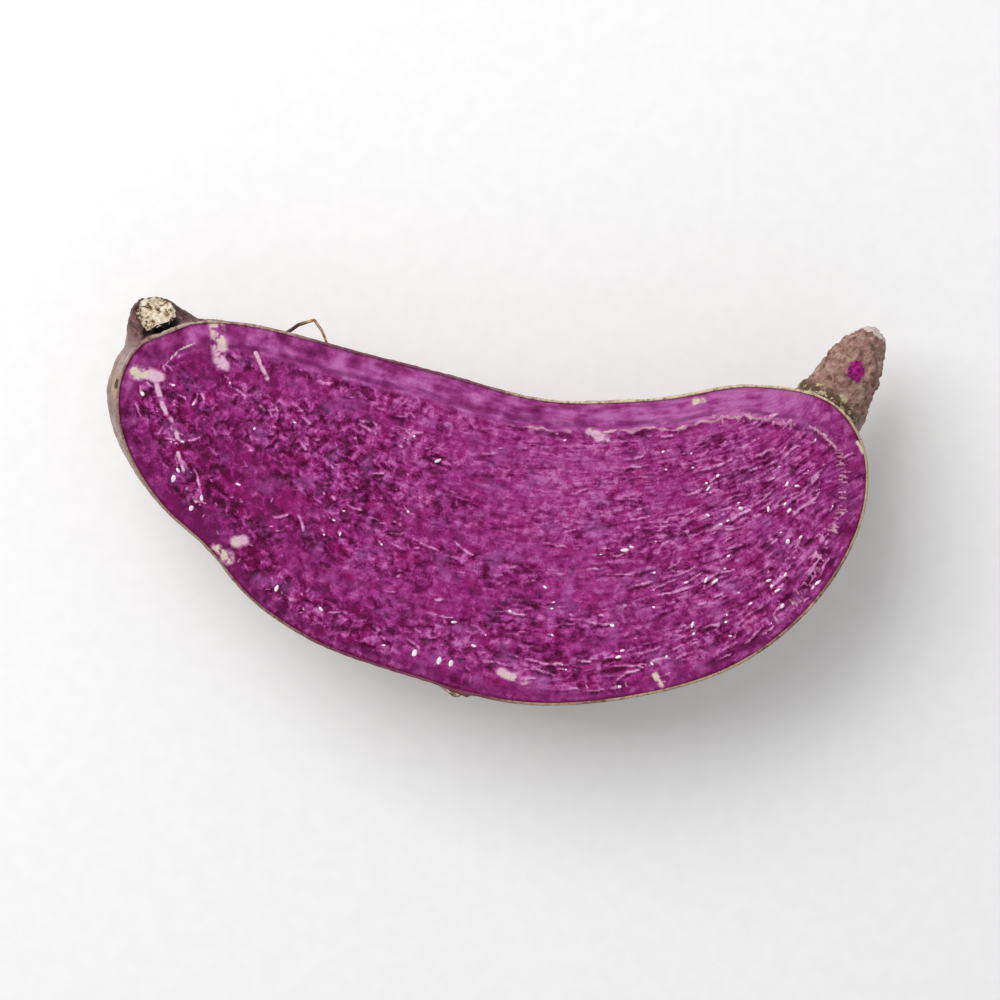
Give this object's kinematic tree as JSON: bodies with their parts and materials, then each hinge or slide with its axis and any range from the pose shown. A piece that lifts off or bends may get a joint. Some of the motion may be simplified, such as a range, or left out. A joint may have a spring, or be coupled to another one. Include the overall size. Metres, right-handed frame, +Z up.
{
  "type": "purple sweet potato half",
  "caption": "Half of a bent purple sweet potato, cut lengthwise and lying on its rounded back with the purple cut face up; it keeps its broken neck and its scaly tail.",
  "frame": {"origin": "on the surface that the half lies on, under the middle of its bounding box", "axes": "+X along the root from the neck end to the tail end, +Y to the hollow side of the bend, +Z up, out of the cut face"},
  "size_m": [0.1702, 0.09, 0.0342],
  "materials": {
    "skin": "dull, dry and finely wrinkled",
    "flesh": "moist, fibrous and slightly glossy"
  },
  "bodies": {
    "root": {"sweet_potato_half": "skin"}
  },
  "joints": []
}
